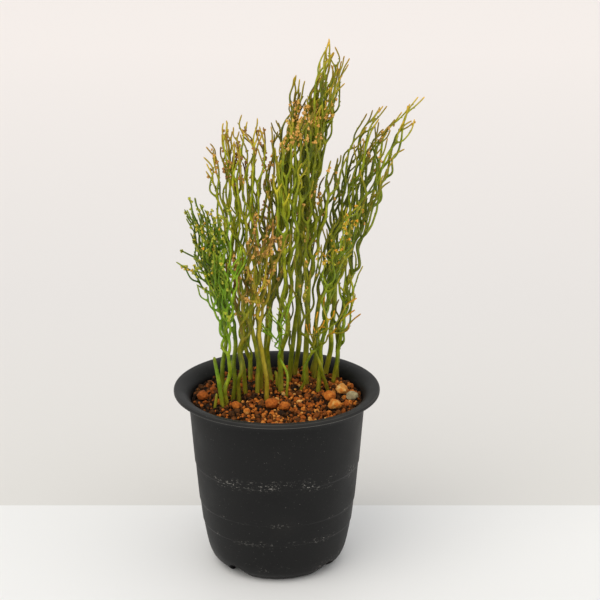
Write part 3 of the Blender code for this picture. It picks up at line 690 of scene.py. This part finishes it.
def growStem(number, node, fork, low, high, scatter, count, radius, sides):
    dice = random.Random(number)
    tree = Tree()
    x, y, _ = footOf(node)
    radius *= mm * growth["footShare"]
    ground = np.array([x, y, mixHeight(x, y)])
    fork = np.array(fork) * mm
    start = tree.add(ground - (0, 0, growth["rooted"]), radius)
    hosts = []
    for share in growth["trunkPoints"]:
        sway = np.array([dice.uniform(-1, 1), dice.uniform(-1, 1), 0]) * growth["trunkSway"] * (share > 0)
        start = tree.add(ground + (fork - ground) * share + sway, radius * (1 - 0.14 * share), start)
        hosts += [start] * (share > 0)
    radius *= growth["trunkTaper"]
    node = tree.add(fork, radius, start)
    onward = unit(fork - tree.points[start])
    tips = scatterTips(np.array(low) * mm, np.array(high) * mm, scatter * 1.25 * mm, count, dice)
    left, right, across = splitTips(tips, onward, None)
    outward = (np.mean(tips, axis=0) - fork) * (1, 1, 0) / (60 * mm)  # twigs lean the way the stem leans
    for group, way in ((left, -1), (right, 1)):
        growBranch(tree, node, onward, across * way, group, radius * growth["thinning"], dice, outward)
    for host in sorted(dice.sample(hosts, min(sides, len(hosts)))):  # thin side branches below the first fork
        at = tree.points[host]
        heading = unit(tree.points[tree.following[host][0]] - at)
        side = square(wander(dice, 1, 0.6, 0), heading)
        tips = []
        for _ in range(growth["sideTips"]):
            tip = at + heading * dice.uniform(*growth["sideReach"])
            tip = tip + side * dice.uniform(0.3, 1) * growth["sideSpread"]
            tips.append(tip + wander(dice, 3, 3, 0) * mm)
        thin = min(growth["sideRadius"], radius / growth["trunkTaper"] * 0.6)
        growBranch(tree, host, heading, side, tips, thin, dice, side * 0.2)
    return tree


def addTwigs(tree, dice):  # the last branches fork again, into finer twigs
    ends = [i for i, after in enumerate(tree.following) if not after]
    before = {j: i for i, after in enumerate(tree.following) for j in after}
    for end in ends:
        start = before[end]
        reach = tree.points[end] - tree.points[start]
        length = np.linalg.norm(reach)
        if length < growth["twigLeast"] or dice.random() < 0.15:
            continue
        heading = unit(reach)
        side = square(wander(dice, 1, 1, 0.3), heading)
        share = dice.uniform(0.2, 0.45)
        radius = tree.radii[start] + (tree.radii[end] - tree.radii[start]) * share
        at = tree.points[start] + reach * share
        fork = tree.add(at, radius, start)
        tree.following[start].remove(end)
        rest = length * (1 - share)
        step = min(growth["twigStep"], rest * 0.4)
        lean = math.radians(dice.uniform(20, 34))
        one, two = (
            tree.add(at + (heading * math.cos(lean) + side * way * math.sin(lean)) * step, radius * 0.9, fork)
            for way in (1, -1)
        )
        tree.following[one].append(end)
        other = at + heading * rest * dice.uniform(0.6, 1.0) - side * rest * dice.uniform(0.18, 0.4)
        tree.add(other, growth["tipRadius"], two)


def refine(tree, waviness, seed):  # smooth curves between forks, with a slight wander
    fine = Tree()
    fine.branch, fine.arc, fine.parent = [], [], {}
    first = fine.add(tree.points[0], tree.radii[0])
    fine.branch.append(0)
    fine.arc.append(0.0)
    jobs = [(0, first, None, 0)]
    count = 0
    while jobs:
        node, at, heading, parent = jobs.pop(0)
        for following in tree.following[node]:
            count += 1
            path = [node, following]
            while len(tree.following[path[-1]]) == 1:
                path.append(tree.following[path[-1]][0])
            spots = [tree.points[i] for i in path]
            radii = [tree.radii[i] for i in path]
            tangents = [spots[1] - spots[0]]
            tangents += [(spots[i + 1] - spots[i - 1]) / 2 for i in range(1, len(spots) - 1)]
            tangents.append(spots[-1] - spots[-2])
            if heading is not None:
                tangents[0] = unit(unit(tangents[0]) + 0.25 * heading) * np.linalg.norm(tangents[0])
            total = sum(np.linalg.norm(b - a) for a, b in zip(spots, spots[1:]))
            ends = not tree.following[path[-1]]
            fine.parent[count] = parent
            arc, last, lastPoint = 0.0, at, spots[0]
            for i in range(len(spots) - 1):
                a, b = spots[i], spots[i + 1]
                length = np.linalg.norm(b - a)
                spacing = max(growth["spacing"], 2.6 * radii[i])
                pieces = max(1, round(length / spacing))
                ta = unit(tangents[i]) * length
                tb = unit(tangents[i + 1]) * length
                for k in range(1, pieces + 1):
                    t = k / pieces
                    point = ((2 * t ** 3 - 3 * t ** 2 + 1) * a + (t ** 3 - 2 * t ** 2 + t) * ta
                             + (3 * t ** 2 - 2 * t ** 3) * b + (t ** 3 - t ** 2) * tb)
                    arc += np.linalg.norm(point - lastPoint)
                    lastPoint = point
                    share = min(arc / total, 1)
                    swing = math.sin(share * math.pi) if not ends else math.sin(share * math.pi / 2) ** 1.5
                    if node == 0:
                        swing *= 0.6 * min(1, max(0, (arc - 8 * mm) / (10 * mm)))
                    broad = Vector((arc / (13 * mm) + seed * 7.3, count * 3.1, seed * 1.7))
                    tight = Vector((arc / (4.5 * mm) + seed * 5.1, count * 1.9, seed * 2.3))
                    way = noise.noise_vector(broad) * 1.9 + noise.noise_vector(tight) * 0.55
                    sway = np.array((way.x, way.y, way.z * 0.3)) * waviness * mm * swing
                    last = fine.add(point + sway, radii[i] + (radii[i + 1] - radii[i]) * t, last)
                    fine.branch.append(count)
                    fine.arc.append(arc)
            onward = unit(spots[-1] - spots[-2])
            jobs.append((path[-1], last, onward, count))
    return fine


def pushApart(trees):  # moves points sideways until no two branches touch
    points = np.concatenate([np.array(tree.points) for tree in trees])
    radii = np.concatenate([np.array(tree.radii) for tree in trees])
    firsts = np.cumsum([0] + [len(tree.points) for tree in trees])
    owner, branch, arc, links, held = [], [], [], [], []
    for number, (tree, first) in enumerate(zip(trees, firsts)):
        owner += [number] * len(tree.points)
        branch += tree.branch
        arc += tree.arc
        links += [(i + first, j + first) for i, after in enumerate(tree.following) for j in after]
        held += [p[2] < mixHeight(p[0], p[1]) + 2 * mm for p in tree.points]
    links = np.array(links)
    held = np.array(held)
    touching = np.zeros(len(points))
    np.add.at(touching, links[:, 0], 1)
    np.add.at(touching, links[:, 1], 1)
    reach = 2 * radii.max() + growth["clearance"]
    for round_ in range(growth["pushRounds"]):
        finder = kdtree.KDTree(len(points))
        for i, point in enumerate(points):
            finder.insert(point, i)
        finder.balance()
        moves = np.zeros_like(points)
        hits = 0
        for i, point in enumerate(points):
            for _, j, distance in finder.find_range(point, radii[i] * 2 + reach / 2):
                if j <= i:
                    continue
                wanted = radii[i] + radii[j] + growth["clearance"]
                if distance >= wanted:
                    continue
                if owner[i] == owner[j]:
                    if branch[i] == branch[j]:
                        continue
                    parents = trees[owner[i]].parent
                    siblings = parents.get(branch[i]) == parents.get(branch[j])
                    if siblings and arc[i] + arc[j] < growth["forkReach"]:
                        continue
                    if parents.get(branch[j]) == branch[i] or parents.get(branch[i]) == branch[j]:
                        continue
                push = unit(points[j] - point) * (wanted - distance) * 0.5
                moves[i] -= push
                moves[j] += push
                hits += 1
        moves[held] = 0
        for _ in range(3):  # spread the moves along each branch
            spread = np.zeros_like(moves)
            np.add.at(spread, links[:, 0], moves[links[:, 1]])
            np.add.at(spread, links[:, 1], moves[links[:, 0]])
            moves = moves * 0.55 + spread / np.maximum(touching, 1)[:, None] * 0.45
            moves[held] = 0
        points += moves * 1.5
        if hits == 0:
            break
    print("  pushed apart in", round_ + 1, "rounds,", hits, "places left")
    for tree, first in zip(trees, firsts):
        tree.points = list(points[first:first + len(tree.points)])


# the skin of a stem
def tipDistance(tree):  # how far each point is below the nearest tip above it
    distance = [0.0] * len(tree.points)
    for i in range(len(tree.points) - 1, -1, -1):
        after = tree.following[i]
        if after:
            distance[i] = min(distance[j] + np.linalg.norm(tree.points[j] - tree.points[i]) for j in after)
    return distance


def skinTree(tree):  # a four-sided tube that parts at each fork; subdivision rounds it
    points, vertices, faces, sources = tree.points, [], [], []
    halfShare = 1 / 0.93

    def ring(node, heading, across, half):
        up = np.cross(heading, across)
        first = len(vertices)
        for i, j in ((-1, -1), (1, -1), (1, 1), (-1, 1)):
            vertices.append(points[node] + (across * i + up * j) * half)
            sources.append(node)
        return [first, first + 1, first + 2, first + 3]

    def bridge(below, above):
        for i in range(4):
            j = (i + 1) % 4
            faces.append((below[i], below[j], above[j], above[i]))

    start = unit(points[1] - points[0])
    across = square(np.array([1.0, 0, 0]), start)
    root = ring(0, start, across, tree.radii[0] * halfShare)
    faces.append(tuple(reversed(root)))
    jobs = [(1, start, root, across)]
    while jobs:
        node, came, below, across = jobs.pop()
        nexts = tree.following[node]
        half = tree.radii[node] * halfShare
        if len(nexts) == 2:
            wanted = square(points[nexts[1]] - points[nexts[0]], came)
            up = np.cross(came, across)
            choices = (across, up, -across, -up)
            turns = max(range(4), key=lambda k: choices[k] @ wanted)
            below = below[turns:] + below[:turns]
            here = ring(node, came, wanted, half)
            bridge(below, here)
            one, two = (unit(points[n] - points[node]) for n in nexts)
            spread = math.acos(float(np.clip(one @ two, -1, 1))) / 2
            shortest = min(np.linalg.norm(points[n] - points[node]) for n in nexts)
            thinner = max(tree.radii[n] for n in nexts) * halfShare
            rise = min(thinner / math.sin(max(spread, 0.1)) * 1.1, 0.62 * shortest)
            crotch = points[node] + unit(one + two) * rise
            up = np.cross(came, wanted)
            near, far = len(vertices), len(vertices) + 1
            vertices.extend((crotch - up * half, crotch + up * half))
            sources.extend((node, node))
            faces.extend(((here[0], here[1], near), (here[2], here[3], far)))
            jobs.append((nexts[0], one, [here[0], near, far, here[3]], square(wanted, one)))
            jobs.append((nexts[1], two, [near, here[1], here[2], far], square(wanted, two)))
        elif nexts:
            onward = unit(points[nexts[0]] - points[node])
            mean = unit(came + onward)
            here = ring(node, mean, square(across, mean), half)
            bridge(below, here)
            jobs.append((nexts[0], onward, here, square(across, onward)))
        else:
            here = ring(node, came, square(across, came), half)
            bridge(below, here)
            faces.append(tuple(here))
    return vertices, faces, sources


skin = {
    "olive": ("#5c6608", "#858c12", "#b0a922"), "bright": ("#527a0c", "#739518", "#9db428"),
    "dry": ("#4c3010", "#8a6026", "#bb924e"), "youngTip": "#c4a02e", "ripeTip": "#dc981c", "foot": "#a08a2c",
}


def makeStemSkin():
    # living stem: waxy and finely ridged along its length, yellow at the tips and the foot, brown where dry,
    # with painted shade in the ridges' grooves and lower down
    material, tree, surface = newMaterial("fernStem")
    spot = addNode(tree, "TexCoord").outputs["Object"]
    height = addNode(tree, "SeparateXYZ", {0: spot}).outputs["Z"]
    tone = addNode(tree, "Attribute", {"attribute_name": "tone"})
    tipness, dryness, brightness = addNode(tree, "SeparateColor", {0: tone.outputs["Color"]}).outputs
    mottle = addNode(tree, "TexNoise", {"Vector": spot, "Scale": 160, "Detail": 4, "Roughness": 0.6})  # 6 mm
    olive, bright, brown = (
        addNode(tree, "ValToRGB", {"Fac": mottle, "stops": list(zip((0.3, 0.5, 0.7), skin[name]))}).outputs[0]
        for name in ("olive", "bright", "dry")
    )
    patch = addNode(tree, "TexNoise", {"Vector": spot, "Scale": 90, "Detail": 3})  # 11 mm patches
    patchy = addNode(tree, "Math", {"operation": "ADD", 0: patch, 1: dryness})
    lengthwise = addNode(tree, "Mapping", {"Vector": spot, "Scale": (1, 1, 0.1)})
    ridges = addNode(tree, "TexNoise", {"Vector": lengthwise, "Scale": 1500, "Detail": 3})  # 0.7 mm apart
    # the ridge streaks follow the bump's own height: painted shade in the grooves, lighter on the ridges
    young, ripe, low, dry, grooveShade, lowShade = (
        addNode(tree, "MapRange", {"Value": value, "range": limits}) for value, limits in (
            (tipness, (0.2, 1.0, 0, 0.75)), (tipness, (0.9, 1.6, 0, 1)),
            (height, (mix["edgeTop"], 103 * mm, 1.3, 0)),
            (patchy, (0.85, 1.3, 0, 0.95)), (ridges, (0.3, 0.7, 0.7, 1.25)),
            (height, (100 * mm, 155 * mm, 0.86, 1)),  # painted shade: darker lower down, among the crowded stems
        ))
    foot = addNode(tree, "Math", {"operation": "MULTIPLY", 0: low, 1: mottle})
    body = olive
    for share, over in (
            (brightness, bright), (young, linear(skin["youngTip"])), (ripe, linear(skin["ripeTip"])),
            (foot, linear(skin["foot"])), (dry, brown)):
        body = addNode(tree, "Mix", {"data_type": "RGBA", "Factor": share, 6: body, 7: over}).outputs[2]
    # each branch's own tone, times painted shade in the grooves and lower down
    shade = tone.outputs["Alpha"]
    for factor in (grooveShade, lowShade):
        shade = addNode(tree, "Math", {"operation": "MULTIPLY", 0: shade, 1: factor})
    bodyAndPaintedShade = addNode(tree, "VectorMath", {"operation": "SCALE", 0: body, "Scale": shade})
    bump = addNode(tree, "Bump", {"Strength": 0.5, "Distance": 0.3 * mm, "Height": ridges})
    setInputs(tree, surface, {
        "Base Color": bodyAndPaintedShade, "Normal": bump, "Roughness": 0.45, "Specular IOR Level": 0.25,
    })
    return material


def makeStem(number, name, tree, material, slot, dryness, brightness):
    vertices, faces, sources = skinTree(tree)
    piece = meshPiece(name + "_grown", vertices, faces, material)
    distance = tipDistance(tree)
    dice = random.Random(200 + number)
    shades, dries = {0: 1.0}, {0: 1.0}
    for branch, parent in tree.parent.items():  # each branch has its own shade, not far from its parent's
        shades[branch] = min(max(shades.get(parent, 1.0) + dice.uniform(-0.26, 0.22), 0.43), 1.32)
        dries[branch] = min(max(dries.get(parent, 1.0) + dice.uniform(-0.25, 0.25), 0.4), 1.4)
    values = []
    for source in sources:
        tipness = math.exp(-distance[source] / (10 * mm)) * growth["orangeTips"].get(name, 1)
        share = dryness * (0.25 + 0.75 * math.exp(-distance[source] / (38 * mm))) * dries[tree.branch[source]]
        fresh = brightness * min(max(1.4 - distance[source] / (60 * mm), 0.3), 1)
        tipness = max(tipness * (1 - 0.55 * fresh), growth["amber"].get(name, 0))
        values += [tipness, share, fresh, shades[tree.branch[source]]]
    setLook(piece, values)
    applyModifier(piece, "SUBSURF", levels=1, render_levels=1)
    smoothShade(piece)
    finishPiece(piece, slot, name)


def makePlant():
    material = makeStemSkin()
    trees, looks = [], []
    for number, (name, row) in enumerate(stems.items()):
        fork, low, high, scatter, count, radius, dryness, brightness, waviness, _, _ = row
        sides = int(fork[2] > growth["sidesFrom"] and number % growth["sidesEvery"] == 0)
        tree = growStem(number, name, fork, low, high, scatter, count, radius, sides)
        addTwigs(tree, random.Random(100 + number))
        trees.append(refine(tree, waviness, number))
        looks.append((name, "stem_green", dryness, brightness))
    for name, (tip, radius, brightness) in shoots.items():
        tree = Tree()
        x, y, _ = footOf(name)
        ground = np.array([x, y, mixHeight(x, y)])
        tip, radius = np.array(tip) * mm, radius * mm
        start = tree.add(ground - (0, 0, growth["rooted"]), radius)
        start = tree.add(ground, radius, start)
        start = tree.add((ground + tip) / 2 + (0.3 * mm, 0, 0), radius, start)
        tree.add(tip, radius * 0.75, start)
        trees.append(refine(tree, 0.3, 50 + len(trees)))
        looks.append((name, "shoot_green", 0.0, brightness))
    print("  skeletons:", sum(len(tree.points) for tree in trees), "points")
    pushApart(trees)
    for number, (tree, (name, slot, dryness, brightness)) in enumerate(zip(trees, looks)):
        makeStem(number, name, tree, material, slot, dryness, brightness)
    return dict(zip([look[0] for look in looks], trees))


trees = makePlant()
print("stems grown")

# spore cases and scale leaves
cases = {
    "lobe": 0.54 * mm, "spread": 0.46 * mm, "perPlace": 2, "highest": 235 * mm, "seed": 5,
    "lowestOf": {"stem_centre": 219 * mm, "stem_top_front": 226 * mm, "stem_top_back": 227 * mm,
                 "stem_back_tall": 226 * mm, "stem_right_middle": 160 * mm, "stem_left_front": 150 * mm},
    "fromTip": (1 * mm, 26 * mm),
    "stops": [(0.1, "#5c3a18"), (0.25, "#9c6a26"), (0.4, "#d9a852"), (0.52, "#cf983a"), (0.62, "#9c9c28"),
              (0.78, "#acae28"), (0.88, "#c9a222"), (0.97, "#e09a16")],
}
scales = {
    "length": 0.9 * mm, "width": 0.55 * mm, "spacing": 3.4 * mm, "above": 6 * mm, "below": 75 * mm, "seed": 6,
}


def makeCaseSkin():
    # spore cases: waxy three-lobed balls, brown, tan, yellow-green or orange as they ripen
    material, tree, surface = newMaterial("sporeCase")
    tone = addNode(tree, "Attribute", {"attribute_name": "tone"}).outputs["Fac"]
    spot = addNode(tree, "TexCoord").outputs["Object"]
    mottle = addNode(tree, "TexNoise", {"Vector": spot, "Scale": 900, "Detail": 3})  # 1 mm
    shift = addNode(tree, "MapRange", {"Value": mottle, "range": (0.3, 0.7, -0.06, 0.06)})
    both = addNode(tree, "Math", {"operation": "ADD", 0: tone, 1: shift})
    shade = addNode(tree, "ValToRGB", {"Fac": both, "stops": cases["stops"]})
    setInputs(tree, surface, {"Base Color": shade, "Roughness": 0.45})
    return material


def onStem(tree, i, share, dice):  # a spot on the stem's surface, and the way it faces
    j = tree.following[i][0]
    heading = unit(tree.points[j] - tree.points[i])
    side = square(wander(dice, 1, 1, 0.5), heading)
    spot = tree.points[i] + (tree.points[j] - tree.points[i]) * share
    return spot, heading, side


def caseShape():  # one case: three round lobes
    bpy.ops.object.select_all(action="DESELECT")
    lobes = []
    for turn in range(3):
        around = math.radians(turn * 120)
        place = (math.cos(around) * cases["spread"], math.sin(around) * cases["spread"], 0)
        bpy.ops.mesh.primitive_ico_sphere_add(subdivisions=1, radius=cases["lobe"], location=place)
        bpy.ops.object.transform_apply(location=True, rotation=True, scale=True)
        lobes.append(bpy.context.object)
    shape = joinPieces(lobes, "caseShape")
    shape.data.materials.append(makeCaseSkin())
    shape.data.shade_smooth()
    return shape


def makeCases():
    dice = random.Random(cases["seed"])
    shape = caseShape()
    groups = {}
    nearest, furthest = cases["fromTip"]
    for name, row in stems.items():
        tree, (wanted, caseTone) = trees[name], row[-2:]
        lowest = cases["lowestOf"].get(name, 0)
        places = [i for i, distance in enumerate(tipDistance(tree))
                  if nearest < distance < furthest and len(tree.following[i]) == 1
                  and lowest < tree.points[i][2] < cases["highest"]]
        for _ in range(wanted):
            i = dice.choice(places)
            for _ in range(dice.randint(1, cases["perPlace"])):
                if len(tree.following[i]) != 1:
                    break
                spot, heading, side = onStem(tree, i, dice.random(), dice)
                size = dice.uniform(0.75, 1.2)
                spot = spot + side * (tree.radii[i] + 0.4 * mm * size)
                facing = Vector(unit(side + heading * 0.5)).to_track_quat("Z", "Y").to_matrix().to_4x4()
                turn = Matrix.Rotation(dice.uniform(0, 2), 4, "Z") @ Matrix.Scale(size, 4)
                copy = bpy.data.objects.new("case", shape.data.copy())
                copy.data.transform(Matrix.Translation(spot) @ facing @ turn)
                scene.collection.objects.link(copy)
                setTone(copy, [min(max(dice.gauss(caseTone, 0.06), 0.02), 0.98)] * len(copy.data.vertices))
                groups.setdefault("left" if tree.points[0][0] < 0 else "right", []).append(copy)
                i = tree.following[i][0]
    bpy.data.objects.remove(shape)
    for side, group in groups.items():
        print("  spore cases,", side, len(group))
        finishPiece(joinPieces(group, "spore_cases_" + side), "stem_green")


def makeScales():  # tiny pointed leaves, one every few millimetres, first on one side and then on another
    dice = random.Random(scales["seed"])
    vertices, faces, looks = [], [], []
    for name, row in stems.items():
        tree, dryness, brightness = trees[name], row[6], row[7]
        distance = tipDistance(tree)
        for i, after in enumerate(tree.following):
            if len(after) != 1 or not scales["above"] < distance[i] < scales["below"]:
                continue
            if dice.random() > growth["spacing"] / scales["spacing"]:
                continue
            spot, heading, side = onStem(tree, i, dice.random(), dice)
            across = np.cross(heading, side)
            base = spot + side * tree.radii[i] * 0.75
            long, wide = scales["length"] * dice.uniform(0.7, 1.2), scales["width"] * 0.5
            first = len(vertices)
            vertices += [base - across * wide - heading * wide, base + across * wide - heading * wide,
                         base + heading * long * 0.7, base + side * long * 0.75 + heading * long * 0.9]
            faces += [(first, first + 1, first + 2)[::-1], (first, first + 1, first + 3),
                      (first + 1, first + 2, first + 3), (first + 2, first, first + 3)]
            looks += [0.3, min(dryness * 0.8, 0.8), brightness, dice.uniform(0.7, 1.1)] * 4
    piece = meshPiece("scale_leaves", vertices, faces, bpy.data.materials["fernStem"])
    setLook(piece, looks)
    makeActive(piece)
    bpy.ops.object.mode_set(mode="EDIT")
    bpy.ops.mesh.select_all(action="SELECT")
    bpy.ops.mesh.normals_make_consistent(inside=False)
    bpy.ops.object.mode_set(mode="OBJECT")
    finishPiece(piece, "stem_green")


makeCases()
makeScales()
print("spore cases and scale leaves made")

makeBed()
makeGranules([(*footOf(name)[:2], 1.3 * mm) for name in list(stems) + list(shoots)])
makeStones()
print("potting mix made")
